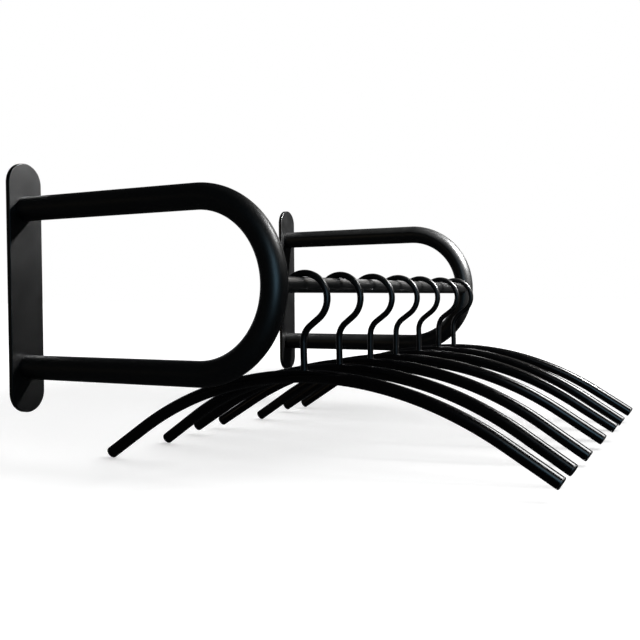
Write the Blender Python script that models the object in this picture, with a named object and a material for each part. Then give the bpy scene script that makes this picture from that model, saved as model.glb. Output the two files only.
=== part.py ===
"""Wall-mounted clothes rail with seven hangers, in metres.

+X runs along the rail, -Y points from the wall into the room and +Z is up. The origin lies on the wall plane,
midway between the two brackets and level with the rail.
"""

from math import cos, pi, radians, sin, sqrt, tan

import bmesh
import bpy
from mathutils import Vector

# Clearance between pieces that fit into or rest on each other
GAP = 0.0003

# Brackets and rail
BRACKET_SPACING = 0.556
BRACKET_REACH = 0.314
LEG_SPACING = 0.164
BRACKET_TUBE = 0.025
BRACKET_WALL = 0.002
RAIL_TUBE = 0.015
RAIL_WALL = 0.0015

# Wall plates, with countersunk holes that the bracket legs cover
PLATE_WIDTH = 0.043
PLATE_MARGIN = 0.047
PLATE_THICKNESS = 0.005
PLATE_EDGE = 0.0008
WALL_SCREW_HOLE = 0.0055
WALL_SCREW_HEAD = 0.0105

# Fixings inside the tubes
SLEEVE_LENGTH = 0.030
SLEEVE_WALL = 0.0027
SPIGOT_LENGTH = 0.030
GRUB_DIAMETER = 0.004
GRUB_LENGTH = 0.0045
GRUB_SINK = 0.0005
GRUB_CHAMFER = 0.0005
GRUB_SOCKET = 0.002
GRUB_SOCKET_DEPTH = 0.0022

# Hanger hooks: an arc over the rail, a slope back under it, a neck and an upright stem
HOOK_WIRE = 0.0065
HOOK_PIN = 0.004
HOOK_RADIUS = 0.0236
HOOK_SET = 0.0022
HOOK_TIP_ANGLE = 66
HOOK_SLOPE = 37
HOOK_NECK_RADIUS = 0.019

# Hanger bars: an arch with a straight arm at each end
HANGER_DROP = 0.0853
BAR_TUBE = 0.0125
BAR_WALL = 0.0015
BAR_RADIUS = 0.347
BAR_HALF_ANGLE = 32.9
BAR_ARM = 0.051
NUT_LENGTH = 0.016
PLUG_CAP = 0.002
PLUG_ROUND = 0.0015
PLUG_SHANK = 0.010

# Where each hanger hangs, from the middle (0) to a bracket (1), and how it was left, in degrees:
# turned about its stem and tipped about the rail
HANGER_STATIONS = (-0.816, -0.540, -0.245, 0.028, 0.294, 0.580, 0.803)
HANGER_TURNS = (0.6, -3.9, 0.2, 6.3, 2.0, 2.4, 5.4)
HANGER_TIPS = (-1.2, -1.1, 0.1, 0.0, -1.2, -0.3, -0.9)

# Facets around and along the round pieces
TUBE_SIDES = 16
BAR_SIDES = 12
WIRE_SIDES = 8
SCREW_SIDES = 12
BEND_STEPS = 20
ARCH_STEPS = 13
HOOK_STEPS = 12
NECK_STEPS = 4
PLATE_STEPS = 14
PLUG_STEPS = 2
TIP_LIFTS = (65, 35)
SMOOTH_ANGLE = 35

# Places that follow from the sizes
BEND_RADIUS = LEG_SPACING / 2
BEND_CENTRE = BRACKET_REACH - BRACKET_TUBE / 2 - BEND_RADIUS
RAIL_Y = BRACKET_TUBE / 2 - BRACKET_REACH
SEAT_Y = -PLATE_THICKNESS - GAP
SLEEVE_RADIUS = BRACKET_TUBE / 2 - BRACKET_WALL - GAP
SPIGOT_RADIUS = RAIL_TUBE / 2 - RAIL_WALL - GAP
LEG_GRUB_Y = SEAT_Y - SLEEVE_LENGTH / 2
RAIL_GRUB_INSET = BRACKET_TUBE / 2 + SPIGOT_LENGTH / 2
BAR_BORE_RADIUS = BAR_TUBE / 2 - BAR_WALL
NUT_RADIUS = BAR_BORE_RADIUS - GAP
HOLE_OVERRUN = 0.002
SIDES = (("left", -1), ("right", 1))
LEGS = (("upper", BEND_RADIUS), ("lower", -BEND_RADIUS))


def sweep_rings(bm, stations, sides):
    """Add a ring of vertices round each (point, radius) station of a path."""
    rings = []
    for index, (point, radius) in enumerate(stations):
        before = stations[max(index - 1, 0)][0]
        after = stations[min(index + 1, len(stations) - 1)][0]
        tangent = ((point - before).normalized() + (after - point).normalized()).normalized()
        along_x = abs(tangent.x) > 0.5
        across = Vector((0, 1, 0)) if along_x else Vector((1, 0, 0))
        up = tangent.cross(across)
        ring = []
        for side in range(sides):
            angle = 2 * pi * side / sides
            ring.append(bm.verts.new(point + radius * (cos(angle) * across + sin(angle) * up)))
        rings.append(ring)
    return rings


def skin(bm, rings):
    """Join each ring to the next with quads."""
    for near, far in zip(rings, rings[1:]):
        for side in range(len(near)):
            after = (side + 1) % len(near)
            bm.faces.new((near[side], near[after], far[after], far[side]))


def finish_mesh(bm, name):
    """Turn a bmesh into a mesh with outward faces."""
    bmesh.ops.recalc_face_normals(bm, faces=bm.faces)
    mesh = bpy.data.meshes.new(name)
    bm.to_mesh(mesh)
    bm.free()
    return mesh


def rod(name, stations, sides):
    """Solid round bar through (point, radius) stations."""
    bm = bmesh.new()
    rings = sweep_rings(bm, stations, sides)
    skin(bm, rings)
    bm.faces.new(rings[0])
    bm.faces.new(rings[-1])
    return finish_mesh(bm, name)


def tube(name, path, outer, inner, sides):
    """Open round tube along a path."""
    bm = bmesh.new()
    outside = sweep_rings(bm, [(point, outer) for point in path], sides)
    inside = sweep_rings(bm, [(point, inner) for point in path], sides)
    skin(bm, outside + inside[::-1] + outside[:1])
    return finish_mesh(bm, name)


def carve(mesh, cutters):
    """Take the volume of each cutter mesh out of a mesh."""
    body = bpy.data.objects.new("carved_body", mesh)
    scratch = [body]
    for cutter in cutters:
        tool = bpy.data.objects.new("cutter", cutter)
        scratch.append(tool)
        modifier = body.modifiers.new("cut", "BOOLEAN")
        modifier.operation = "DIFFERENCE"
        modifier.solver = "EXACT"
        modifier.object = tool
    for item in scratch:
        bpy.context.scene.collection.objects.link(item)
    depsgraph = bpy.context.evaluated_depsgraph_get()
    carved = bpy.data.meshes.new_from_object(body.evaluated_get(depsgraph))
    carved.name = mesh.name
    for item in scratch:
        bpy.data.objects.remove(item)
    return carved


def make_material(name, colour, roughness, metallic):
    """Principled material with one plain finish."""
    material = bpy.data.materials.new(name)
    material.use_nodes = True
    shader = material.node_tree.nodes["Principled BSDF"]
    shader.inputs["Base Color"].default_value = (*colour, 1)
    shader.inputs["Roughness"].default_value = roughness
    shader.inputs["Metallic"].default_value = metallic
    return material


def add_empty(name, parent, location=(0, 0, 0), rotation=(0, 0, 0)):
    """Empty that carries a group of pieces."""
    empty = bpy.data.objects.new(name, None)
    empty.parent = parent
    empty.location = location
    empty.rotation_euler = rotation
    bpy.context.scene.collection.objects.link(empty)
    return empty


def add_piece(name, mesh, material, parent, location=(0, 0, 0), tilt=0):
    """Named piece of the assembly, tilted about X where it needs it."""
    mesh.shade_smooth()
    mesh.set_sharp_from_angle(angle=radians(SMOOTH_ANGLE))
    mesh.materials.clear()
    mesh.materials.append(material)
    piece = bpy.data.objects.new(name, mesh)
    piece.parent = parent
    piece.location = location
    piece.rotation_euler.x = tilt
    bpy.context.scene.collection.objects.link(piece)
    return piece


def bracket_path(x):
    """Centreline of a bracket tube: along the upper leg, round the half circle and back."""
    path = [Vector((x, SEAT_Y, BEND_RADIUS))]
    for step in range(BEND_STEPS + 1):
        angle = pi / 2 - pi * step / BEND_STEPS
        y = -BEND_CENTRE - BEND_RADIUS * cos(angle)
        path.append(Vector((x, y, BEND_RADIUS * sin(angle))))
    path.append(Vector((x, SEAT_Y, -BEND_RADIUS)))
    return path


def bracket_clearance(x):
    """Solid of a bracket tube with the fitting gap round it, which shapes what meets the tube."""
    radius = BRACKET_TUBE / 2 + GAP
    return rod("bracket_clearance", [(point, radius) for point in bracket_path(x)], TUBE_SIDES)


def grub_hole(x, y, mouth, depth):
    """Upright hole for a grub screw whose outer end is at the height of the mouth."""
    radius = GRUB_DIAMETER / 2 + GAP
    low = Vector((x, y, mouth - GRUB_SINK - HOLE_OVERRUN))
    high = Vector((x, y, mouth + depth))
    return rod("grub_hole", [(low, radius), (high, radius)], SCREW_SIDES)


def wall_plate():
    """Stadium plate, back on the wall, with a rounded front edge and two countersunk holes."""
    bm = bmesh.new()
    radius = PLATE_WIDTH / 2
    centre = LEG_SPACING / 2 + PLATE_MARGIN - radius
    outline = []
    for end in (1, -1):
        for step in range(PLATE_STEPS + 1):
            angle = pi * step / PLATE_STEPS
            x = end * radius * cos(angle)
            outline.append(bm.verts.new((x, 0, end * (centre + radius * sin(angle)))))
    back = bm.faces.new(outline)
    grown = bmesh.ops.extrude_face_region(bm, geom=[back])["geom"]
    front_verts = [item for item in grown if isinstance(item, bmesh.types.BMVert)]
    bmesh.ops.translate(bm, verts=front_verts, vec=(0, -PLATE_THICKNESS, 0))
    front_edges = [item for item in grown if isinstance(item, bmesh.types.BMEdge)]
    bmesh.ops.bevel(bm, geom=front_edges, offset=PLATE_EDGE, segments=2, profile=0.5, affect="EDGES")
    mesh = finish_mesh(bm, "wall_plate")
    return carve(mesh, [wall_screw_hole(height) for leg, height in LEGS])


def wall_screw_hole(height):
    """Countersunk hole through a wall plate."""
    hole = WALL_SCREW_HOLE / 2
    head = WALL_SCREW_HEAD / 2
    front = -PLATE_THICKNESS
    stations = [
        (Vector((0, HOLE_OVERRUN, height)), hole),
        (Vector((0, front + head - hole, height)), hole),
        (Vector((0, front, height)), head),
        (Vector((0, front - HOLE_OVERRUN, height)), head),
    ]
    return rod("wall_screw_hole", stations, TUBE_SIDES)


def leg_sleeve(height):
    """Short tube on the plate inside a bracket leg, with the hole of its grub screw."""
    path = [Vector((0, SEAT_Y, height)), Vector((0, SEAT_Y - SLEEVE_LENGTH, height))]
    mesh = tube("leg_sleeve", path, SLEEVE_RADIUS, SLEEVE_RADIUS - SLEEVE_WALL, TUBE_SIDES)
    return carve(mesh, [grub_hole(0, LEG_GRUB_Y, height - BRACKET_TUBE / 2, BRACKET_TUBE / 2)])


def bracket_tube():
    """Tube bent into a U, with a grub screw hole under each leg."""
    outer = BRACKET_TUBE / 2
    mesh = tube("bracket_tube", bracket_path(0), outer, outer - BRACKET_WALL, TUBE_SIDES)
    holes = [grub_hole(0, LEG_GRUB_Y, height - outer, outer) for leg, height in LEGS]
    return carve(mesh, holes)


def rail_spigot(side):
    """Rod that stands on the inner side of a bend and carries one end of the rail."""
    end = -side * (BRACKET_TUBE / 2 + SPIGOT_LENGTH)
    stations = [(Vector((0, RAIL_Y, 0)), SPIGOT_RADIUS), (Vector((end, RAIL_Y, 0)), SPIGOT_RADIUS)]
    mesh = rod("rail_spigot", stations, TUBE_SIDES)
    depth = GRUB_SINK + GRUB_LENGTH + GAP
    hole = grub_hole(-side * RAIL_GRUB_INSET, RAIL_Y, -RAIL_TUBE / 2, depth)
    return carve(mesh, [bracket_clearance(0), hole])


def rail_tube():
    """Straight rail, its ends cut to the round of the bracket tubes, with two grub screw holes."""
    outer = RAIL_TUBE / 2
    half = BRACKET_SPACING / 2
    path = [Vector((-half, RAIL_Y, 0)), Vector((half, RAIL_Y, 0))]
    mesh = tube("rail_tube", path, outer, outer - RAIL_WALL, TUBE_SIDES)
    cutters = []
    for name, side in SIDES:
        cutters.append(bracket_clearance(side * half))
        cutters.append(grub_hole(side * (half - RAIL_GRUB_INSET), RAIL_Y, -outer, outer))
    return carve(mesh, cutters)


def grub_screw():
    """Headless screw pointing up from its own origin, with a hexagon socket in the lower end."""
    radius = GRUB_DIAMETER / 2
    stations = [
        (Vector((0, 0, 0)), radius),
        (Vector((0, 0, GRUB_LENGTH - GRUB_CHAMFER)), radius),
        (Vector((0, 0, GRUB_LENGTH)), radius - GRUB_CHAMFER),
    ]
    mesh = rod("grub_screw", stations, SCREW_SIDES)
    corner = GRUB_SOCKET / 2 / cos(pi / 6)
    low = Vector((0, 0, -HOLE_OVERRUN))
    high = Vector((0, 0, GRUB_SOCKET_DEPTH))
    socket = rod("grub_socket", [(low, corner), (high, corner)], 6)
    return carve(mesh, [socket])


def bar_path():
    """Centreline of a hanger bar, from its wall end to its room end, seen from the rail."""
    half_angle = radians(BAR_HALF_ANGLE)
    points = []
    for step in range(ARCH_STEPS + 1):
        angle = half_angle * (2 * step / ARCH_STEPS - 1)
        z = -HANGER_DROP - BAR_RADIUS * (1 - cos(angle))
        points.append(Vector((0, -BAR_RADIUS * sin(angle), z)))
    arm = BAR_ARM * Vector((0, cos(half_angle), -sin(half_angle)))
    wall_end = points[0] + arm
    room_end = points[-1] + Vector((0, -arm.y, arm.z))
    return [wall_end] + points + [room_end]


def bar_middle():
    """Middle of the short straight run at the top of the arch, where the hook's pin sits."""
    path = bar_path()
    half = len(path) // 2
    return (path[half - 1] + path[half]) / 2


def hanger_bar():
    """Arched tube with a hole in its top for the hook's stem."""
    mesh = tube("hanger_bar", bar_path(), BAR_TUBE / 2, BAR_BORE_RADIUS, BAR_SIDES)
    radius = HOOK_WIRE / 2 + GAP
    low = bar_middle()
    high = low + Vector((0, 0, BAR_TUBE))
    return carve(mesh, [rod("stem_hole", [(low, radius), (high, radius)], SCREW_SIDES)])


def hook_nut():
    """Cross-drilled cylinder in the bore at the top of the arch, which holds the hook's pin."""
    middle = bar_middle()
    half = Vector((0, NUT_LENGTH / 2, 0))
    mesh = rod("hook_nut", [(middle + half, NUT_RADIUS), (middle - half, NUT_RADIUS)], BAR_SIDES)
    radius = HOOK_PIN / 2 + GAP
    rise = Vector((0, 0, BAR_TUBE))
    return carve(mesh, [rod("pin_hole", [(middle - rise, radius), (middle + rise, radius)], SCREW_SIDES)])


def hook_wire():
    """Hook from its rounded tip behind the rail, over the rail and down to the pin in the bar."""
    wire = HOOK_WIRE / 2
    slope = radians(HOOK_SLOPE)
    first = -radians(HOOK_TIP_ANGLE)
    last = pi - slope
    seat = HOOK_RADIUS - wire - RAIL_TUBE / 2 - GAP
    centre = Vector((0, -HOOK_SET, -sqrt(seat * seat - HOOK_SET * HOOK_SET)))
    stations = []
    tip = centre + HOOK_RADIUS * Vector((0, -sin(first), cos(first)))
    outward = Vector((0, cos(first), sin(first)))
    for lift in TIP_LIFTS:
        stations.append((tip + wire * sin(radians(lift)) * outward, wire * cos(radians(lift))))
    for step in range(HOOK_STEPS + 1):
        angle = first + (last - first) * step / HOOK_STEPS
        stations.append((centre + HOOK_RADIUS * Vector((0, -sin(angle), cos(angle))), wire))
    arc_end = stations[-1][0]
    lean = pi / 2 - slope
    neck_y = -HOOK_NECK_RADIUS * (1 - cos(lean))
    neck_top = arc_end.z - (neck_y - arc_end.y) * tan(slope)
    neck_centre = Vector((0, -HOOK_NECK_RADIUS, neck_top - HOOK_NECK_RADIUS * sin(lean)))
    for step in range(NECK_STEPS + 1):
        angle = lean * (1 - step / NECK_STEPS)
        stations.append((neck_centre + HOOK_NECK_RADIUS * Vector((0, cos(angle), sin(angle))), wire))
    middle = bar_middle()
    shoulder = middle + Vector((0, 0, NUT_RADIUS + GAP))
    pin_end = middle - Vector((0, 0, BAR_BORE_RADIUS / 2))
    stations += [(shoulder, wire), (shoulder, HOOK_PIN / 2), (pin_end, HOOK_PIN / 2)]
    return rod("hook_wire", stations, WIRE_SIDES)


def end_plug():
    """Plug with its cap's outer face up: shank below its origin, rounded cap above."""
    cap = BAR_TUBE / 2
    shank = BAR_BORE_RADIUS - GAP
    edge = min(PLUG_ROUND, PLUG_CAP)
    stations = [
        (Vector((0, 0, -PLUG_SHANK)), shank),
        (Vector((0, 0, GAP)), shank),
        (Vector((0, 0, GAP)), cap),
    ]
    for step in range(PLUG_STEPS + 1):
        angle = pi / 2 * step / PLUG_STEPS
        height = GAP + PLUG_CAP - edge * (1 - sin(angle))
        stations.append((Vector((0, 0, height)), cap - edge * (1 - cos(angle))))
    return rod("end_plug", stations, BAR_SIDES)


for old in list(bpy.data.objects):
    bpy.data.objects.remove(old)

powder_coat = make_material("satin_black_powder_coat", (0.010, 0.010, 0.011), 0.42, 0)
rail_coat = make_material("satin_black_rail_coat", (0.010, 0.010, 0.010), 0.38, 0)
plate_coat = make_material("matt_black_plate_coat", (0.016, 0.016, 0.016), 0.55, 0)
hook_enamel = make_material("gloss_black_hook_enamel", (0.007, 0.008, 0.010), 0.22, 0)
bar_enamel = make_material("gloss_black_bar_enamel", (0.006, 0.006, 0.007), 0.26, 0)
plug_plastic = make_material("black_plug_plastic", (0.007, 0.007, 0.007), 0.35, 0)
plain_steel = make_material("plain_steel", (0.45, 0.45, 0.46), 0.40, 1)
black_steel = make_material("black_oxide_steel", (0.02, 0.02, 0.02), 0.45, 1)

rail_group = add_empty("clothes_rail", None)
grub_mesh = grub_screw()

# Fixed frame
for name, side in SIDES:
    bracket = add_empty(f"{name}_bracket", rail_group, (side * BRACKET_SPACING / 2, 0, 0))
    add_piece(f"{name}_wall_plate", wall_plate(), plate_coat, bracket)
    add_piece(f"{name}_bracket_tube", bracket_tube(), powder_coat, bracket)
    for leg, height in LEGS:
        add_piece(f"{name}_{leg}_sleeve", leg_sleeve(height), plain_steel, bracket)
        seat = (0, LEG_GRUB_Y, height - BRACKET_TUBE / 2 + GRUB_SINK)
        add_piece(f"{name}_{leg}_grub_screw", grub_mesh, black_steel, bracket, seat)
    add_piece(f"{name}_rail_spigot", rail_spigot(side), plain_steel, bracket)
    seat = (-side * RAIL_GRUB_INSET, RAIL_Y, -RAIL_TUBE / 2 + GRUB_SINK)
    add_piece(f"{name}_rail_grub_screw", grub_mesh, black_steel, bracket, seat)
add_piece("rail_tube", rail_tube(), rail_coat, rail_group)

# Hangers: every one shares the same meshes
hook_mesh = hook_wire()
bar_mesh = hanger_bar()
nut_mesh = hook_nut()
plug_mesh = end_plug()
wall_end = bar_path()[0]
room_end = bar_path()[-1]
plug_tilt = pi / 2 + radians(BAR_HALF_ANGLE)

resting = zip(HANGER_STATIONS, HANGER_TURNS, HANGER_TIPS)
for number, (station, turn, tip) in enumerate(resting, start=1):
    place = (station * BRACKET_SPACING / 2, RAIL_Y, 0)
    hanger = add_empty(f"hanger_{number}", rail_group, place, (radians(tip), 0, radians(turn)))
    add_piece(f"hanger_{number}_hook", hook_mesh, hook_enamel, hanger)
    add_piece(f"hanger_{number}_bar", bar_mesh, bar_enamel, hanger)
    add_piece(f"hanger_{number}_hook_nut", nut_mesh, plain_steel, hanger)
    add_piece(f"hanger_{number}_room_plug", plug_mesh, plug_plastic, hanger, room_end, plug_tilt)
    add_piece(f"hanger_{number}_wall_plug", plug_mesh, plug_plastic, hanger, wall_end, -plug_tilt)
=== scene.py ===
"""Wall-mounted clothes rail with its hangers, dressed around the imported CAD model."""

from math import copysign, cos, hypot, pi, radians, sin, sqrt, tan

import bmesh
import bpy
from mathutils import Euler, Matrix, Vector


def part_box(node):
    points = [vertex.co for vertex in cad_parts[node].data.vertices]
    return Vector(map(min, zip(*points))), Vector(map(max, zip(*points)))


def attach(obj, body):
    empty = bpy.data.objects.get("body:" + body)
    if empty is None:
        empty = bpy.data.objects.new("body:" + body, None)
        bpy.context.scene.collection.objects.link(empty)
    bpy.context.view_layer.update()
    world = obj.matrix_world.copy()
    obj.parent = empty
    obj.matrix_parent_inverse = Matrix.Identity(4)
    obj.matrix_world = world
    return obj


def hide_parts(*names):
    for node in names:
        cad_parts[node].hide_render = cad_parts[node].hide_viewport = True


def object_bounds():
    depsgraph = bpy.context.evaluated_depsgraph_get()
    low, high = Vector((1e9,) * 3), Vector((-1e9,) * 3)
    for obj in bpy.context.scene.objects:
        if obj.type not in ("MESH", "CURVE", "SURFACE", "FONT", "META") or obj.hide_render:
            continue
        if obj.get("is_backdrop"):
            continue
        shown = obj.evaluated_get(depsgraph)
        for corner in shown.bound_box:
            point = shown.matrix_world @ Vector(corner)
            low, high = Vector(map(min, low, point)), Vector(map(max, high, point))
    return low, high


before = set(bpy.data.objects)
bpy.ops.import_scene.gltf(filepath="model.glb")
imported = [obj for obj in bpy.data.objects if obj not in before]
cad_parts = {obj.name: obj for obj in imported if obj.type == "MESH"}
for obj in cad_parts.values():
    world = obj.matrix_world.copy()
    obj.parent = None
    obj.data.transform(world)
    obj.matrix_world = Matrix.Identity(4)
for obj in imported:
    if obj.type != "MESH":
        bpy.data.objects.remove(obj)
cad_low, cad_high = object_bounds()


# Wall plates. Two flat plates cut from 5 mm steel sheet with half-round ends and an eased front edge.
# They are powder coated matt black and screwed to the wall through countersunk holes, which the legs of
# the bracket tubes cover.

PLATE_EASE = 0.0008
PLATE_BACK_EASE = 0.0002
PLATE_FLAT_MARGIN = 0.0006
PLATE_EASE_STEPS = 5
PLATE_END_STEPS = 40
WALL_SCREW_HOLE = 0.0055
WALL_SCREW_HEAD = 0.0105
LEG_SPACING = 0.164
HOLE_STEPS = 32
SMOOTH_ANGLE = radians(35)
MERGE_DISTANCE = 1e-5
SLIVER_LENGTH = 1e-6
SIDES = ("left", "right")


def linear(code):
    """A colour written as an sRGB hex code, as linear red, green, blue and alpha."""
    values = []
    for start in (1, 3, 5):
        share = int(code[start:start + 2], 16) / 255
        values.append(share / 12.92 if share <= 0.04045 else ((share + 0.055) / 1.055) ** 2.4)
    return (*values, 1)


def add_node(tree, kind, sockets=None, **settings):
    """Add a node with its settings; each socket takes a value or a link from another node's socket."""
    node = tree.nodes.new(kind)
    for setting, value in settings.items():
        setattr(node, setting, value)
    for socket, value in (sockets or {}).items():
        if isinstance(value, bpy.types.NodeSocket):
            tree.links.new(value, node.inputs[socket])
        else:
            node.inputs[socket].default_value = value
    return node


def powder_coat(name, dark, light, shine, roughness, spread, grain, depth):
    """Baked powder paint: a fine sandy skin on slow waves, which breaks a highlight into soft grains.

    The shine is how strongly the skin mirrors, 0.5 for plain paint. Its roughness varies by the spread over
    patches, and its grain and depth are in metres.
    """
    patch = 0.018
    wave = 0.0035
    coat = bpy.data.materials.new(name)
    coat.use_nodes = True
    tree = coat.node_tree
    shader = tree.nodes["Principled BSDF"]
    shader.inputs["IOR"].default_value = 1.5
    shader.inputs["Specular IOR Level"].default_value = shine
    place = add_node(tree, "ShaderNodeTexCoord").outputs["Object"]
    grains = add_node(tree, "ShaderNodeTexNoise", {"Vector": place, "Scale": 1 / grain, "Detail": 2.0})
    waves = add_node(tree, "ShaderNodeTexNoise", {"Vector": place, "Scale": 1 / wave, "Detail": 1.0})
    patches = add_node(tree, "ShaderNodeTexNoise", {"Vector": place, "Scale": 1 / patch, "Detail": 3.0})
    colour = add_node(tree, "ShaderNodeMix", {"Factor": grains.outputs["Fac"]}, data_type="RGBA")
    colour.inputs["A"].default_value = linear(dark)
    colour.inputs["B"].default_value = linear(light)
    dull = add_node(tree, "ShaderNodeMapRange", {
        "Value": patches.outputs["Fac"],
        "From Min": 0.3,
        "From Max": 0.7,
        "To Min": roughness - spread,
        "To Max": roughness + spread,
    })
    slow = add_node(tree, "ShaderNodeBump", {
        "Height": waves.outputs["Fac"], "Distance": depth * 2, "Strength": 0.5,
    })
    skin = add_node(tree, "ShaderNodeBump", {
        "Height": grains.outputs["Fac"], "Distance": depth, "Strength": 1.0, "Normal": slow.outputs["Normal"],
    })
    tree.links.new(colour.outputs["Result"], shader.inputs["Base Color"])
    tree.links.new(dull.outputs["Result"], shader.inputs["Roughness"])
    tree.links.new(skin.outputs["Normal"], shader.inputs["Normal"])
    return coat


def finish_mesh(bm, name):
    """Merge doubles, turn the faces outwards and shade the mesh smooth up to its sharp edges."""
    bmesh.ops.remove_doubles(bm, verts=bm.verts, dist=MERGE_DISTANCE)
    bmesh.ops.dissolve_degenerate(bm, edges=bm.edges, dist=SLIVER_LENGTH)
    bmesh.ops.recalc_face_normals(bm, faces=bm.faces)
    mesh = bpy.data.meshes.new(name)
    bm.to_mesh(mesh)
    bm.free()
    mesh.shade_smooth()
    mesh.set_sharp_from_angle(angle=SMOOTH_ANGLE)
    return mesh


def set_piece(name, mesh, finish, body, slot, *nodes):
    """Show a finished mesh in place of its CAD nodes, on their body. The slot is not used."""
    mesh.materials.clear()
    mesh.materials.append(finish)
    piece = bpy.data.objects.new(name, mesh)
    bpy.context.scene.collection.objects.link(piece)
    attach(piece, body)
    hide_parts(*nodes)


def plate_mesh(low, high):
    """Plate with half-round ends that fills a CAD plate's box, back on the wall, with its two holes."""
    bm = bmesh.new()
    middle = (low + high) / 2
    radius = (high.x - low.x) / 2
    straight = (high.z - low.z) / 2 - radius

    def outline(inset, y):
        ring = []
        for end in (1, -1):
            for step in range(PLATE_END_STEPS + 1):
                angle = pi * step / PLATE_END_STEPS
                x = middle.x + end * (radius - inset) * cos(angle)
                z = middle.z + end * (straight + (radius - inset) * sin(angle))
                ring.append(bm.verts.new((x, y, z)))
        return ring

    def circle(z, diameter, y):
        turn = 2 * pi / HOLE_STEPS
        ring = []
        for step in range(HOLE_STEPS):
            x = middle.x + diameter / 2 * cos(turn * step)
            ring.append(bm.verts.new((x, y, z + diameter / 2 * sin(turn * step))))
        return ring

    def join(first, second):
        for index in range(len(first)):
            after = (index + 1) % len(first)
            bm.faces.new((first[index], first[after], second[after], second[index]))

    def fill(rings):
        edges = []
        for ring in rings:
            for index in range(len(ring)):
                pair = (ring[index - 1], ring[index])
                edges.append(bm.edges.get(pair) or bm.edges.new(pair))
        bmesh.ops.triangle_fill(bm, use_beauty=True, use_dissolve=False, edges=edges)

    rings = [outline(PLATE_BACK_EASE, high.y), outline(0, high.y - PLATE_BACK_EASE)]
    for step in range(PLATE_EASE_STEPS + 1):
        angle = pi / 2 * step / PLATE_EASE_STEPS
        rings.append(outline(PLATE_EASE * (1 - cos(angle)), low.y + PLATE_EASE * (1 - sin(angle))))
    rings.append(outline(PLATE_EASE + PLATE_FLAT_MARGIN, low.y))
    for first, second in zip(rings, rings[1:]):
        join(first, second)
    sink = (WALL_SCREW_HEAD - WALL_SCREW_HOLE) / 2
    fronts = [rings[-1]]
    backs = [rings[0]]
    for end in (1, -1):
        z = middle.z + end * LEG_SPACING / 2
        head = circle(z, WALL_SCREW_HEAD, low.y)
        throat = circle(z, WALL_SCREW_HOLE, low.y + sink)
        mouth = circle(z, WALL_SCREW_HOLE, high.y)
        join(head, throat)
        join(throat, mouth)
        fronts.append(head)
        backs.append(mouth)
    fill(fronts)
    fill(backs)
    return finish_mesh(bm, "wall_plate")


# The plates' grain is drawn coarser than real, because real grains are far finer than a pixel from here.
plate_coat = powder_coat(
    "matt_black_powder_coat", "#040506", "#070809",
    shine=0.3, roughness=0.35, spread=0.03, grain=0.0012, depth=0.00006,
)
for side in SIDES:
    node = f"{side}_wall_plate"
    set_piece(f"{side}_plate", plate_mesh(*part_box(node)), plate_coat, "frame", "plate_coat", node)


# Leg sleeves and rail spigots. Short turned steel tubes and rods, welded to the plates and to the inner
# side of the bends. The bracket legs and the rail slip over them, so they stay as plain zinc-plated steel.

# Electroplated zinc: a bright grey metal, clouded in soft patches a few millimetres wide.
CLOUD = 0.004
zinc_plate = bpy.data.materials.new("zinc_plated_steel")
zinc_plate.use_nodes = True
zinc_tree = zinc_plate.node_tree
zinc_shader = zinc_tree.nodes["Principled BSDF"]
zinc_shader.inputs["Metallic"].default_value = 1.0
zinc_place = add_node(zinc_tree, "ShaderNodeTexCoord").outputs["Object"]
zinc_clouds = add_node(zinc_tree, "ShaderNodeTexNoise", {
    "Vector": zinc_place, "Scale": 1 / CLOUD, "Detail": 4.0,
}).outputs["Fac"]
zinc_colour = add_node(zinc_tree, "ShaderNodeMix", {"Factor": zinc_clouds}, data_type="RGBA")
zinc_colour.inputs["A"].default_value = linear("#a9abae")
zinc_colour.inputs["B"].default_value = linear("#c9cacb")
zinc_dull = add_node(zinc_tree, "ShaderNodeMapRange", {"Value": zinc_clouds, "To Min": 0.3, "To Max": 0.45})
zinc_tree.links.new(zinc_colour.outputs["Result"], zinc_shader.inputs["Base Color"])
zinc_tree.links.new(zinc_dull.outputs["Result"], zinc_shader.inputs["Roughness"])


def plate_with_zinc(*nodes):
    """Give CAD nodes that stay as they are the zinc finish."""
    for node in nodes:
        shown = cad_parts[node].data
        shown.materials.clear()
        shown.materials.append(zinc_plate)


for side in SIDES:
    plate_with_zinc(f"{side}_upper_sleeve", f"{side}_lower_sleeve", f"{side}_rail_spigot")


# Bracket tubes. Each is one 25 mm steel tube with a 2 mm wall, bent round a former into a U that lies on
# its side, and powder coated satin black. A hole under each leg takes the grub screw that locks the leg.

FIT = 0.0003
BRACKET_TUBE = 0.025
BRACKET_WALL = 0.002
BRACKET_X = 0.278
BEND_RADIUS = LEG_SPACING / 2
SEAT_Y = -0.0053
RAIL_Y = -0.3015
GRUB_HOLE = 0.0046
HOLE_OVERRUN = 0.002
TUBE_SIDES = 64
BRACKET_BEND_STEPS = 40

# A bend is made a hair under its full radius, so that it never overlaps the next one.
BEND_MARGIN = 0.99999

# The tree carries a round section along a drawn path. Each corner of the path is bent to the radius
# stored with it, and the section is scaled by the width stored with each point.
round_tree = bpy.data.node_groups.new("round_section_on_path", "GeometryNodeTree")
for label, kind in (
    ("Path", "NodeSocketGeometry"),
    ("Diameter", "NodeSocketFloat"),
    ("Sides", "NodeSocketInt"),
    ("Bend Steps", "NodeSocketInt"),
    ("Closed Ends", "NodeSocketBool"),
    ("Finish", "NodeSocketMaterial"),
):
    round_tree.interface.new_socket(label, in_out="INPUT", socket_type=kind)
round_tree.interface.new_socket("Piece", in_out="OUTPUT", socket_type="NodeSocketGeometry")
given = add_node(round_tree, "NodeGroupInput").outputs
corner_bend = add_node(round_tree, "GeometryNodeInputNamedAttribute", {"Name": "bend"}).outputs["Attribute"]
point_width = add_node(round_tree, "GeometryNodeInputNamedAttribute", {"Name": "width"}).outputs["Attribute"]
drawn = add_node(round_tree, "GeometryNodeMeshToCurve", {"Mesh": given["Path"]})
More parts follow.
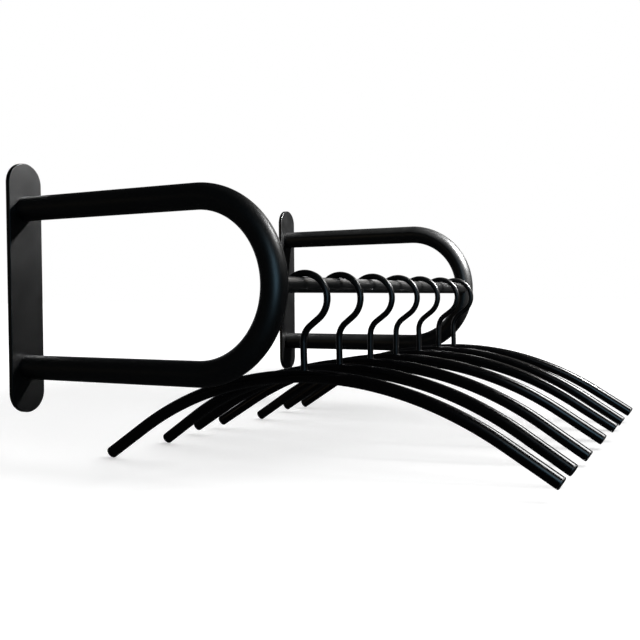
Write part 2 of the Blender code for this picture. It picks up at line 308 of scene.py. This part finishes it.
bent = add_node(round_tree, "GeometryNodeFilletCurve", mode="POLY")
for socket, source in (
    ("Curve", drawn.outputs["Curve"]),
    ("Count", given["Bend Steps"]),
    ("Radius", corner_bend),
):
    round_tree.links.new(source, bent.inputs[socket])
bent.inputs["Limit Radius"].default_value = True
section_radius = add_node(round_tree, "ShaderNodeMath", {0: given["Diameter"], 1: 2.0}, operation="DIVIDE")
section = add_node(round_tree, "GeometryNodeCurvePrimitiveCircle", {
    "Resolution": given["Sides"], "Radius": section_radius.outputs[0],
}, mode="RADIUS")
bent_line = add_node(round_tree, "GeometryNodeCurveToMesh", {"Curve": bent.outputs["Curve"]})
clean_line = add_node(round_tree, "GeometryNodeMergeByDistance", {
    "Geometry": bent_line.outputs["Mesh"], "Distance": MERGE_DISTANCE,
})
clean_path = add_node(round_tree, "GeometryNodeMeshToCurve", {"Mesh": clean_line.outputs["Geometry"]})
skin = add_node(round_tree, "GeometryNodeCurveToMesh", {
    "Curve": clean_path.outputs["Curve"],
    "Profile Curve": section.outputs["Curve"],
    "Scale": point_width,
    "Fill Caps": given["Closed Ends"],
})
realized = add_node(round_tree, "GeometryNodeRealizeInstances", {"Geometry": skin.outputs["Mesh"]})
finished = add_node(round_tree, "GeometryNodeSetMaterial", {
    "Geometry": realized.outputs["Geometry"], "Material": given["Finish"],
})
add_node(round_tree, "NodeGroupOutput", {"Piece": finished.outputs["Geometry"]})


def set_inputs(modifier, values):
    """Set a Geometry Nodes modifier's inputs, by the identifiers of the sockets with these names."""
    for item in modifier.node_group.interface.items_tree:
        if item.item_type == "SOCKET" and item.in_out == "INPUT" and item.name in values:
            modifier[item.identifier] = values[item.name]


def made_plain(maker):
    """The evaluated mesh of an object with modifiers; the object itself is removed."""
    bpy.context.view_layer.update()
    evaluated = maker.evaluated_get(bpy.context.evaluated_depsgraph_get())
    mesh = bpy.data.meshes.new_from_object(evaluated)
    bpy.data.objects.remove(maker)
    return mesh


def new_maker(name, mesh):
    """A passing object that only carries modifiers."""
    maker = bpy.data.objects.new(name, mesh)
    bpy.context.scene.collection.objects.link(maker)
    return maker


def round_piece(name, path, finish, diameter, sides, steps=1, wall=0):
    """Mesh of a round piece on a path of (point, bend radius, width share); a wall makes it a tube."""
    line = bpy.data.meshes.new(name)
    line.from_pydata([point for point, bend, width in path], [(i, i + 1) for i in range(len(path) - 1)], [])
    for label, column in (("bend", 1), ("width", 2)):
        attribute = line.attributes.new(label, "FLOAT", "POINT")
        attribute.data.foreach_set("value", [stop[column] for stop in path])
    maker = new_maker(name, line)
    modifier = maker.modifiers.new("round_section", "NODES")
    modifier.node_group = round_tree
    set_inputs(modifier, {
        "Diameter": diameter, "Sides": sides, "Bend Steps": steps, "Closed Ends": wall == 0, "Finish": finish,
    })
    bm = bmesh.new()
    bm.from_mesh(made_plain(maker))
    mesh = finish_mesh(bm, name)
    if wall:
        tube = new_maker(name, mesh)
        thicken = tube.modifiers.new("wall", "SOLIDIFY")
        thicken.thickness = wall
        thicken.offset = -1
        thicken.use_even_offset = True
        mesh = made_plain(tube)
        mesh.shade_smooth()
        mesh.set_sharp_from_angle(angle=SMOOTH_ANGLE)
    return mesh


def cut(mesh, *cutters):
    """The mesh with the cutters' meshes taken out of it."""
    blank = new_maker(mesh.name, mesh)
    tools = [new_maker(cutter.name, cutter) for cutter in cutters]
    for tool in tools:
        boolean = blank.modifiers.new("cut", "BOOLEAN")
        boolean.operation = "DIFFERENCE"
        boolean.solver = "EXACT"
        boolean.object = tool
    result = made_plain(blank)
    for tool in tools:
        bpy.data.objects.remove(tool)
    result.shade_smooth()
    result.set_sharp_from_angle(angle=SMOOTH_ANGLE)
    return result


def straight_path(start, end):
    """Path from one point to another with no bend, at full width."""
    return [(Vector(start), 0, 1), (Vector(end), 0, 1)]


def u_path(x):
    """Centreline of a bracket tube: out from the wall, round the bend and back."""
    bend = BEND_RADIUS * BEND_MARGIN
    return [
        (Vector((x, SEAT_Y, BEND_RADIUS)), 0, 1),
        (Vector((x, RAIL_Y, BEND_RADIUS)), bend, 1),
        (Vector((x, RAIL_Y, -BEND_RADIUS)), bend, 1),
        (Vector((x, SEAT_Y, -BEND_RADIUS)), 0, 1),
    ]


def grub_hole(node):
    """Cutter for the hole that one grub screw stands in, from below."""
    low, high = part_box(node)
    middle = (low + high) / 2
    bottom = (middle.x, middle.y, low.z - HOLE_OVERRUN)
    top = (middle.x, middle.y, high.z + HOLE_OVERRUN)
    return round_piece("grub_hole", straight_path(bottom, top), None, GRUB_HOLE, HOLE_STEPS)


bracket_coat = powder_coat(
    "satin_black_powder_coat", "#030405", "#060708",
    shine=0.5, roughness=0.4, spread=0.03, grain=0.0007, depth=0.000015,
)
for side, x in zip(SIDES, (-BRACKET_X, BRACKET_X)):
    path = u_path(x)
    tube = round_piece(
        "bracket_tube", path, bracket_coat, BRACKET_TUBE, TUBE_SIDES, BRACKET_BEND_STEPS, BRACKET_WALL,
    )
    tube = cut(tube, grub_hole(f"{side}_upper_grub_screw"), grub_hole(f"{side}_lower_grub_screw"))
    set_piece(f"{side}_bracket", tube, bracket_coat, "frame", "bracket_coat", f"{side}_bracket_tube")


# Rail. A straight 15 mm steel tube between the bends, its ends cut to the round of the bracket tubes.
# It slips over the spigots and is locked by a grub screw at each end. Its coat is glossier than the
# brackets'.

RAIL_TUBE = 0.015
RAIL_WALL = 0.0015
BEND_Y = RAIL_Y + BEND_RADIUS


def cope(mesh):
    """Pull both ends of the rail back to the round of the bends."""
    room = BRACKET_TUBE / 2 + FIT
    for vertex in mesh.vertices:
        off = hypot(vertex.co.y - BEND_Y, vertex.co.z) - BEND_RADIUS
        vertex.co.x = copysign(BRACKET_X - sqrt(room * room - off * off), vertex.co.x)
    return mesh


rail_coat = powder_coat(
    "satin_black_rail_coat", "#040505", "#080909",
    shine=0.9, roughness=0.32, spread=0.03, grain=0.0007, depth=0.000015,
)
rail_path = straight_path((-BRACKET_X, RAIL_Y, 0), (BRACKET_X, RAIL_Y, 0))
rail_mesh = cope(round_piece("rail", rail_path, rail_coat, RAIL_TUBE, TUBE_SIDES, wall=RAIL_WALL))
rail_mesh = cut(rail_mesh, *[grub_hole(f"{side}_rail_grub_screw") for side in SIDES])
set_piece("rail", rail_mesh, rail_coat, "frame", "rail_coat", "rail_tube")


# Grub screws. Six headless M4 screws with a hexagon socket, in black oxide steel. They stand just inside
# the undersides of the legs and of the rail's ends, where an Allen key reaches them from below.

GRUB_DIAMETER = 0.004
GRUB_CHAMFER = 0.0004
GRUB_SOCKET = 0.002
GRUB_SOCKET_DEPTH = 0.0022
KEY_SIDES = 6

# Black oxide on steel: a dark conversion skin with a dull oily sheen and fine tool marks.
OXIDE_GRAIN = 0.0005
black_oxide = bpy.data.materials.new("black_oxide_steel")
black_oxide.use_nodes = True
oxide_tree = black_oxide.node_tree
oxide_shader = oxide_tree.nodes["Principled BSDF"]
oxide_shader.inputs["Metallic"].default_value = 1.0
oxide_place = add_node(oxide_tree, "ShaderNodeTexCoord").outputs["Object"]
oxide_marks = add_node(oxide_tree, "ShaderNodeTexNoise", {
    "Vector": oxide_place, "Scale": 1 / OXIDE_GRAIN, "Detail": 3.0,
}).outputs["Fac"]
oxide_colour = add_node(oxide_tree, "ShaderNodeMix", {"Factor": oxide_marks}, data_type="RGBA")
oxide_colour.inputs["A"].default_value = linear("#2b2c2e")
oxide_colour.inputs["B"].default_value = linear("#47484a")
oxide_dull = add_node(oxide_tree, "ShaderNodeMapRange", {"Value": oxide_marks, "To Min": 0.32, "To Max": 0.5})
oxide_tree.links.new(oxide_colour.outputs["Result"], oxide_shader.inputs["Base Color"])
oxide_tree.links.new(oxide_dull.outputs["Result"], oxide_shader.inputs["Roughness"])

grub_nodes = []
for side in SIDES:
    for spot in ("upper", "lower", "rail"):
        grub_nodes.append(f"{side}_{spot}_grub_screw")
grub_low, grub_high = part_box(grub_nodes[0])
grub_length = grub_high.z - grub_low.z
grub_share = 1 - 2 * GRUB_CHAMFER / GRUB_DIAMETER
grub_path = [
    (Vector((0, 0, 0)), 0, grub_share),
    (Vector((0, 0, GRUB_CHAMFER)), 0, 1),
    (Vector((0, 0, grub_length - GRUB_CHAMFER)), 0, 1),
    (Vector((0, 0, grub_length)), 0, grub_share),
]
grub_blank = round_piece("grub_screw", grub_path, black_oxide, GRUB_DIAMETER, HOLE_STEPS)
socket_path = straight_path((0, 0, -HOLE_OVERRUN), (0, 0, GRUB_SOCKET_DEPTH))
socket_width = GRUB_SOCKET / cos(pi / KEY_SIDES)
grub_mesh = cut(grub_blank, round_piece("key_socket", socket_path, None, socket_width, KEY_SIDES))

# The tree sets one screw on each point of a mesh.
screw_tree = bpy.data.node_groups.new("screw_on_each_point", "GeometryNodeTree")
for label, kind in (
    ("Points", "NodeSocketGeometry"), ("Screw", "NodeSocketObject"), ("Finish", "NodeSocketMaterial"),
):
    screw_tree.interface.new_socket(label, in_out="INPUT", socket_type=kind)
screw_tree.interface.new_socket("Screws", in_out="OUTPUT", socket_type="NodeSocketGeometry")
screw_given = add_node(screw_tree, "NodeGroupInput").outputs
one_screw = add_node(screw_tree, "GeometryNodeObjectInfo", {"Object": screw_given["Screw"]})
screws = add_node(screw_tree, "GeometryNodeInstanceOnPoints", {
    "Points": screw_given["Points"], "Instance": one_screw.outputs["Geometry"],
})
screws_real = add_node(screw_tree, "GeometryNodeRealizeInstances", {"Geometry": screws.outputs["Instances"]})
screws_done = add_node(screw_tree, "GeometryNodeSetMaterial", {
    "Geometry": screws_real.outputs["Geometry"], "Material": screw_given["Finish"],
})
add_node(screw_tree, "NodeGroupOutput", {"Screws": screws_done.outputs["Geometry"]})

grub_seats = []
for node in grub_nodes:
    low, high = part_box(node)
    grub_seats.append(Vector(((low.x + high.x) / 2, (low.y + high.y) / 2, low.z)))
seat_mesh = bpy.data.meshes.new("grub_seats")
seat_mesh.from_pydata(grub_seats, [], [])
screw_object = new_maker("grub_screw_master", grub_mesh)
seat_object = new_maker("grub_seats", seat_mesh)
screw_modifier = seat_object.modifiers.new("screws", "NODES")
screw_modifier.node_group = screw_tree
set_inputs(screw_modifier, {"Screw": screw_object, "Finish": black_oxide})
all_grubs = made_plain(seat_object)
bpy.data.objects.remove(screw_object)
set_piece("grub_screws", all_grubs, black_oxide, "frame", "black_steel", *grub_nodes)


# Hanger hooks. Each is one 6.5 mm steel wire, bent over the rail, back under it and down into a straight
# stem, with a rounded tip behind the rail. It is enamelled satin black, and a pin below the stem's
# shoulder turns in the nut inside the bar.

HOOK_WIRE = 0.0065
HOOK_PIN = 0.004
HOOK_RADIUS = 0.0236
HOOK_SET = 0.0022
HOOK_TIP_ANGLE = radians(66)
HOOK_SLOPE = radians(37)
HOOK_NECK_RADIUS = 0.019
HOOK_CORNERS = 4
WIRE_SIDES = 32
HOOK_BEND_STEPS = 14
DOME_STEPS = 8
SHOULDER_EASE = 0.0001
HANGER_DROP = 0.0853
BAR_BORE = 0.0095

# The wire beds this far into the rail's coat, so that no light shows between the two.
HOOK_BITE = 0.0002

# Where each hanger hangs, from the middle (0) to a bracket (1), and how it was left, in degrees: turned
# about its stem and tipped about the rail.
HANGER_STATIONS = (-0.816, -0.540, -0.245, 0.028, 0.294, 0.580, 0.803)
HANGER_TURNS = (0.6, -3.9, 0.2, 6.3, 2.0, 2.4, 5.4)
HANGER_TIPS = (-1.2, -1.1, 0.1, 0.0, -1.2, -0.3, -0.9)


def enamel(name, dark, light, shine, roughness, spread, peel, depth):
    """Stoved enamel: a smooth deep black film, which flowed into faint waves before it was baked.

    The shine is how strongly the film mirrors, 0.5 for plain enamel. Its roughness varies by the spread
    over streaks. The peel is the width of its waves, and both it and their depth are in metres.
    """
    streak = 0.012
    film = bpy.data.materials.new(name)
    film.use_nodes = True
    tree = film.node_tree
    shader = tree.nodes["Principled BSDF"]
    shader.inputs["IOR"].default_value = 1.55
    shader.inputs["Specular IOR Level"].default_value = shine
    place = add_node(tree, "ShaderNodeTexCoord").outputs["Object"]
    waves = add_node(tree, "ShaderNodeTexNoise", {"Vector": place, "Scale": 1 / peel, "Detail": 1.0})
    streaks = add_node(tree, "ShaderNodeTexNoise", {"Vector": place, "Scale": 1 / streak, "Detail": 3.0})
    colour = add_node(tree, "ShaderNodeMix", {"Factor": streaks.outputs["Fac"]}, data_type="RGBA")
    colour.inputs["A"].default_value = linear(dark)
    colour.inputs["B"].default_value = linear(light)
    dull = add_node(tree, "ShaderNodeMapRange", {
        "Value": streaks.outputs["Fac"],
        "From Min": 0.3,
        "From Max": 0.7,
        "To Min": roughness - spread,
        "To Max": roughness + spread,
    })
    flow = add_node(tree, "ShaderNodeBump", {
        "Height": waves.outputs["Fac"], "Distance": depth, "Strength": 1.0,
    })
    tree.links.new(colour.outputs["Result"], shader.inputs["Base Color"])
    tree.links.new(dull.outputs["Result"], shader.inputs["Roughness"])
    tree.links.new(flow.outputs["Normal"], shader.inputs["Normal"])
    return film


def hook_path():
    """Path of the wire from its tip to the pin's end, seen from the rail's axis."""
    wire = HOOK_WIRE / 2
    sweep = HOOK_TIP_ANGLE + pi - HOOK_SLOPE
    seat = HOOK_RADIUS - wire - RAIL_TUBE / 2 + HOOK_BITE
    centre = Vector((0, -HOOK_SET, -sqrt(seat * seat - HOOK_SET * HOOK_SET)))

    def spoke(angle):
        return Vector((0, -sin(angle), cos(angle)))

    tip = centre + HOOK_RADIUS * spoke(-HOOK_TIP_ANGLE)
    outward = Vector((0, cos(HOOK_TIP_ANGLE), -sin(HOOK_TIP_ANGLE)))
    path = []
    for step in range(1, DOME_STEPS):
        lift = pi / 2 * (1 - step / DOME_STEPS)
        path.append((tip + wire * sin(lift) * outward, 0, cos(lift)))
    path.append((tip, 0, 1))
    half = sweep / HOOK_CORNERS / 2
    for corner in range(HOOK_CORNERS):
        angle = (2 * corner + 1) * half - HOOK_TIP_ANGLE
        path.append((centre + HOOK_RADIUS / cos(half) * spoke(angle), HOOK_RADIUS * BEND_MARGIN, 1))
    arc_end = centre + HOOK_RADIUS * spoke(pi - HOOK_SLOPE)
    path.append((Vector((0, 0, arc_end.z + arc_end.y * tan(HOOK_SLOPE))), HOOK_NECK_RADIUS, 1))
    shoulder = BAR_BORE / 2 - HANGER_DROP
    pin_end = -BAR_BORE / 4 - HANGER_DROP
    pin = HOOK_PIN / HOOK_WIRE
    path.append((Vector((0, 0, shoulder + SHOULDER_EASE)), 0, 1))
    path.append((Vector((0, 0, shoulder)), 0, pin))
    path.append((Vector((0, 0, pin_end)), 0, pin))
    return path


hook_enamel = enamel(
    "satin_black_hook_enamel", "#040405", "#060708",
    shine=0.3, roughness=0.34, spread=0.02, peel=0.003, depth=0.000002,
)
hook_mesh = round_piece("hook", hook_path(), hook_enamel, HOOK_WIRE, WIRE_SIDES, HOOK_BEND_STEPS)
hanger_places = []
for station, turn, tip in zip(HANGER_STATIONS, HANGER_TURNS, HANGER_TIPS):
    spot = Matrix.Translation((station * BRACKET_X, RAIL_Y, 0))
    hanger_places.append(spot @ Euler((radians(tip), 0, radians(turn))).to_matrix().to_4x4())
for number, place in enumerate(hanger_places, 1):
    wire = hook_mesh.copy()
    wire.transform(place)
    node = f"hanger_{number}_hook"
    set_piece(f"hanger_{number}_wire", wire, hook_enamel, f"hook_{number}", "hook_enamel", node)


# Hanger bars. Each is one 12.5 mm steel tube bent to a wide arch with a straight arm at each end, and
# enamelled gloss black. A hole in its top lets the hook's stem in, and a zinc-plated nut in its bore
# holds the pin.

BAR_TUBE = 0.0125
BAR_WALL = 0.0015
BAR_RADIUS = 0.347
BAR_HALF_ANGLE = radians(32.9)
BAR_ARM = 0.051
BAR_SIDES = 48
BAR_BEND_STEPS = 64

bar_enamel = enamel(
    "gloss_black_bar_enamel", "#020203", "#040405",
    shine=0.3, roughness=0.2, spread=0.02, peel=0.003, depth=0.000002,
)
bar_out = Vector((0, -cos(BAR_HALF_ANGLE), -sin(BAR_HALF_ANGLE)))
bar_fall = BAR_RADIUS * (cos(BAR_HALF_ANGLE) - 1)
bar_bend_end = Vector((0, -BAR_RADIUS * sin(BAR_HALF_ANGLE), bar_fall - HANGER_DROP))
bar_room_end = bar_bend_end + BAR_ARM * bar_out
bar_corner = Vector((0, 0, BAR_RADIUS * (1 / cos(BAR_HALF_ANGLE) - 1) - HANGER_DROP))
mirrored = Matrix.Diagonal((1, -1, 1))
bar_path = [(mirrored @ bar_room_end, 0, 1), (bar_corner, BAR_RADIUS, 1), (bar_room_end, 0, 1)]
bar_tube = round_piece("bar", bar_path, bar_enamel, BAR_TUBE, BAR_SIDES, BAR_BEND_STEPS, BAR_WALL)
stem_hole_path = straight_path((0, 0, -HANGER_DROP), (0, 0, BAR_TUBE - HANGER_DROP))
stem_hole = round_piece("stem_hole", stem_hole_path, None, HOOK_WIRE + 2 * FIT, HOLE_STEPS)
bar_mesh = cut(bar_tube, stem_hole)
for number, place in enumerate(hanger_places, 1):
    arch = bar_mesh.copy()
    arch.transform(place)
    node = f"hanger_{number}_bar"
    set_piece(f"hanger_{number}_arch", arch, bar_enamel, f"bar_{number}", "bar_enamel", node)
    plate_with_zinc(f"hanger_{number}_hook_nut")


# End plugs. Moulded black plastic plugs pressed into both ends of each bar; only their caps show, as
# wide as the tube and rounded at the rim.

PLUG_CAP = 0.002
PLUG_ROUND = 0.0015
PLUG_SHANK = 0.010
PLUG_ROUND_STEPS = 6
PLUG_STEP = 0.00002

# Moulded polyethylene: a soft satin black, with the fine spark-eroded grain of its mould.
MOULD_GRAIN = 0.0004
MOULD_DEPTH = 0.00001
plug_plastic = bpy.data.materials.new("moulded_black_polyethylene")
plug_plastic.use_nodes = True
plug_tree = plug_plastic.node_tree
plug_shader = plug_tree.nodes["Principled BSDF"]
plug_shader.inputs["IOR"].default_value = 1.51
plug_place = add_node(plug_tree, "ShaderNodeTexCoord").outputs["Object"]
plug_grain = add_node(plug_tree, "ShaderNodeTexNoise", {
    "Vector": plug_place, "Scale": 1 / MOULD_GRAIN, "Detail": 2.0,
}).outputs["Fac"]
plug_colour = add_node(plug_tree, "ShaderNodeMix", {"Factor": plug_grain}, data_type="RGBA")
plug_colour.inputs["A"].default_value = linear("#08090a")
plug_colour.inputs["B"].default_value = linear("#0d0e0f")
plug_dull = add_node(plug_tree, "ShaderNodeMapRange", {"Value": plug_grain, "To Min": 0.32, "To Max": 0.42})
plug_skin = add_node(plug_tree, "ShaderNodeBump", {"Height": plug_grain, "Distance": MOULD_DEPTH})
plug_tree.links.new(plug_colour.outputs["Result"], plug_shader.inputs["Base Color"])
plug_tree.links.new(plug_dull.outputs["Result"], plug_shader.inputs["Roughness"])
plug_tree.links.new(plug_skin.outputs["Normal"], plug_shader.inputs["Normal"])

shank_share = (BAR_BORE - 2 * FIT) / BAR_TUBE
plug_profile = [(-PLUG_SHANK, shank_share), (FIT, shank_share), (FIT + PLUG_STEP, 1)]
for step in range(PLUG_ROUND_STEPS + 1):
    angle = pi / 2 * step / PLUG_ROUND_STEPS
    height = FIT + PLUG_CAP - PLUG_ROUND * (1 - sin(angle))
    plug_profile.append((height, 1 - 2 * PLUG_ROUND / BAR_TUBE * (1 - cos(angle))))
plug_path = [(bar_room_end + height * bar_out, 0, share) for height, share in plug_profile]
room_plug = round_piece("plug", plug_path, plug_plastic, BAR_TUBE, BAR_SIDES)
for number, place in enumerate(hanger_places, 1):
    pair = bmesh.new()
    for end in (Matrix.Identity(4), mirrored.to_4x4()):
        single = room_plug.copy()
        single.transform(place @ end)
        pair.from_mesh(single)
    nodes = (f"hanger_{number}_room_plug", f"hanger_{number}_wall_plug")
    plugs = finish_mesh(pair, f"hanger_{number}_plugs")
    set_piece(f"hanger_{number}_plugs", plugs, plug_plastic, f"bar_{number}", "plug_plastic", *nodes)


# Floor, light and camera. A pale floor just under the hangers' ends and a white surround stand for the
# studio. A soft overhead light and a small key light the object at a plain level. The other lamps and the
# dark flats show in gloss only: they draw the bright lines on the tubes and keep the rest of them black.

FLOOR_CLEARANCE = 0.0005
FLOOR_REACH = 30
GLOW_CENTRE = (0.35, -0.05)
GLOW_START = 0.47
GLOW_FULL = 1.02

scene = bpy.context.scene
scene.view_settings.view_transform = "Standard"
floor_z = cad_low.z - FLOOR_CLEARANCE


def seen_directly(tree):
    """1 for rays from the camera and for what gloss and glass show, 0 for the light that falls on things."""
    rays = add_node(tree, "ShaderNodeLightPath").outputs
    gloss = add_node(tree, "ShaderNodeMath", {
        0: rays["Is Camera Ray"], 1: rays["Is Glossy Ray"],
    }, operation="MAXIMUM")
    return add_node(tree, "ShaderNodeMath", {
        0: gloss.outputs[0], 1: rays["Is Transmission Ray"],
    }, operation="MAXIMUM").outputs[0]


# The surround shows as pure white and lights the object at about a third of that.
world = bpy.data.worlds.new("white_studio")
scene.world = world
world.use_nodes = True
sky = world.node_tree.nodes["Background"]
sky.inputs["Color"].default_value = (1, 1, 1, 1)
sky_level = add_node(world.node_tree, "ShaderNodeMapRange", {
    "Value": seen_directly(world.node_tree), "To Min": 0.35, "To Max": 1.0,
})
world.node_tree.links.new(sky_level.outputs["Result"], sky.inputs["Strength"])

floor_mesh = bpy.data.meshes.new("floor")
floor_corners = []
for x, y in ((-1, -1), (1, -1), (1, 1), (-1, 1)):
    floor_corners.append((x * FLOOR_REACH, y * FLOOR_REACH, 0))
floor_mesh.from_pydata(floor_corners, [], [(0, 1, 2, 3)])
floor = bpy.data.objects.new("floor", floor_mesh)
floor.location = (*GLOW_CENTRE, floor_z)
scene.collection.objects.link(floor)

# Matt white paint. Its glow is seen but lights nothing, and it grows away from the shadows, so that the
# floor fades into the white surround with no horizon.
floor_paint = bpy.data.materials.new("white_floor")
floor_paint.use_nodes = True
floor_tree = floor_paint.node_tree
floor_shader = floor_tree.nodes["Principled BSDF"]
floor_shader.inputs["Base Color"].default_value = (0.7, 0.7, 0.7, 1)
floor_shader.inputs["Roughness"].default_value = 1.0
floor_shader.inputs["Specular IOR Level"].default_value = 0.0
floor_shader.inputs["Emission Color"].default_value = (1, 1, 1, 1)
glow_distance = add_node(floor_tree, "ShaderNodeVectorMath", {
    0: add_node(floor_tree, "ShaderNodeTexCoord").outputs["Object"],
}, operation="LENGTH")
floor_glow = add_node(floor_tree, "ShaderNodeMapRange", {
    "Value": glow_distance.outputs["Value"],
    "From Min": GLOW_START,
    "From Max": GLOW_FULL,
    "To Min": 0.44,
    "To Max": 0.9,
}, interpolation_type="SMOOTHSTEP")
floor_seen = add_node(floor_tree, "ShaderNodeMath", {
    0: seen_directly(floor_tree), 1: floor_glow.outputs["Result"],
}, operation="MULTIPLY")
floor_tree.links.new(floor_seen.outputs[0], floor_shader.inputs["Emission Strength"])
floor_mesh.materials.append(floor_paint)
floor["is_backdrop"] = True

# Dark flats stand on all sides and overhead.
flat_low = Vector((-2.6, -2.8, floor_z + FLOOR_CLEARANCE))
flat_high = Vector((2.8, 1.8, 2.6))
flats_bm = bmesh.new()
bmesh.ops.create_cube(flats_bm, size=1)
flats_mesh = bpy.data.meshes.new("dark_flats")
flats_bm.to_mesh(flats_mesh)
flats_bm.free()
flats_size = Matrix.Diagonal((*(flat_high - flat_low), 1))
flats_mesh.transform(Matrix.Translation((flat_low + flat_high) / 2) @ flats_size)
flats = bpy.data.objects.new("dark_flats", flats_mesh)
scene.collection.objects.link(flats)

# Dark cloth: nearly black, with a faint cool glow for the light that falls on it.
flat_cloth = bpy.data.materials.new("dark_studio_cloth")
flat_cloth.use_nodes = True
flat_shader = flat_cloth.node_tree.nodes["Principled BSDF"]
flat_shader.inputs["Base Color"].default_value = (0, 0, 0, 1)
flat_shader.inputs["Specular IOR Level"].default_value = 0.0
flat_shader.inputs["Emission Color"].default_value = (0.9, 0.95, 1, 1)
flat_shader.inputs["Emission Strength"].default_value = 0.02
flats_mesh.materials.append(flat_cloth)
flats.visible_camera = False
flats.visible_diffuse = False
flats.visible_transmission = False
flats.visible_volume_scatter = False
flats.visible_shadow = False
flats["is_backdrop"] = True


def add_softbox(name, spot, aim, width, height, radiance, colour, spread=pi):
    """Rectangular studio light at a spot, turned to its aim; a grid on it narrows its spread.

    Its radiance is what a mirror would show from straight ahead.
    """
    lamp = bpy.data.lights.new(name, "AREA")
    lamp.shape = "RECTANGLE"
    lamp.size = width
    lamp.size_y = height
    lamp.spread = spread
    lamp.color = linear(colour)[:3]
    grid_gain = 1.0
    if spread < pi:
        grid_gain = tan(spread / 2) / (tan(spread / 2) - spread / 2)
    lamp.energy = radiance * pi * width * height / grid_gain
    box = bpy.data.objects.new(name, lamp)
    box.location = spot
    box.rotation_mode = "QUATERNION"
    box.rotation_quaternion = (Vector(aim) - Vector(spot)).to_track_quat("-Z", "Y")
    scene.collection.objects.link(box)
    return box


KEY_SPOT = (0.43, -0.96, 0.73)
KEY_SIZE = 0.06
WHITE = "#ffffff"

# These two light the object. Each row has the lamp's spot, aim, width, height, radiance and colour.
for name, *settings in (
    ("overhead_softbox", (1.0, -2.15, 2.8), (0, -0.35, -0.2), 2.8, 2.8, 3.1, WHITE),
    ("key_light", KEY_SPOT, (0, -0.3, 0), KEY_SIZE, KEY_SIZE, 110, WHITE),
):
    add_softbox(name, *settings).visible_glossy = False

# These show in gloss only, and a row ends with the lamp's spread. In turn they draw the near plate's sheen,
# the far bend's white line, two lights on the rail, the bands on the bars and the soft rims and sides.
for name, *settings in (
    ("near_grid", KEY_SPOT, (-0.278, 0.3, 0.11), KEY_SIZE, KEY_SIZE, 1200, WHITE, radians(50)),
    ("far_grid", KEY_SPOT, (0.47, -0.24, 0.3855), KEY_SIZE, KEY_SIZE, 27000, WHITE, radians(80)),
    ("rail_grid", (0.43, -0.8, 0.82), (0.08, -0.15, 0.2), 0.18, 0.18, 150, WHITE, radians(68)),
    ("rail_card", (1.4, 0, 0.52), (0, -0.3, 0), 0.3, 0.3, 3.5, WHITE, radians(60)),
    ("room_grid", (0.2, -1.15, 0.73), (0, -0.74, -0.21), 0.9, 0.5, 50, WHITE, radians(50)),
    ("warm_grid", (-1.17, 0.53, 0.1), (0.4, -0.12, 0), 0.5, 0.5, 1.0, "#ffe7c5", radians(24)),
    ("blue_panel", (-0.75, -0.8, 0.1), (0, -0.3, 0), 0.35, 0.35, 3.3, "#aee1ff", pi),
    ("left_grid", (-0.75, -0.85, 0.45), (0.05, -0.48, -0.15), 0.4, 0.4, 1.6, "#f2f5f8", radians(50)),
    ("right_card", (1.7, -0.5, 1.2), (0, -0.3, 0), 1.4, 0.9, 0.5, "#fff8ee", pi),
    ("back_card", (1.2, 1.6, 0.3), (0.2, 0, 0.3), 1.6, 1.0, 0.7, "#f2f5f8", pi),
):
    add_softbox(name, *settings).visible_diffuse = False

# The camera's place, turns and focal length, fitted to both brackets in the photo.
PHOTO_PIXELS = 640
FOCAL_PIXELS = 829.82
eye = Vector((-0.9085, -0.6679, -0.0121))
yaw = radians(27.031)
pitch = radians(-1.543)
roll = radians(-0.462)
sight = Vector((cos(yaw) * cos(pitch), sin(yaw) * cos(pitch), sin(pitch)))
level_right = Vector((sin(yaw), -cos(yaw), 0))
level_up = level_right.cross(sight)
right = cos(roll) * level_right + sin(roll) * level_up
up = cos(roll) * level_up - sin(roll) * level_right
lens = bpy.data.cameras.new("camera")
lens.sensor_width = 36
lens.lens = lens.sensor_width * FOCAL_PIXELS / PHOTO_PIXELS
lens.clip_start = 0.05
camera = bpy.data.objects.new("camera", lens)
camera.matrix_world = Matrix.Translation(eye) @ Matrix((right, up, -sight)).transposed().to_4x4()
scene.collection.objects.link(camera)
scene.camera = camera

low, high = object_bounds()
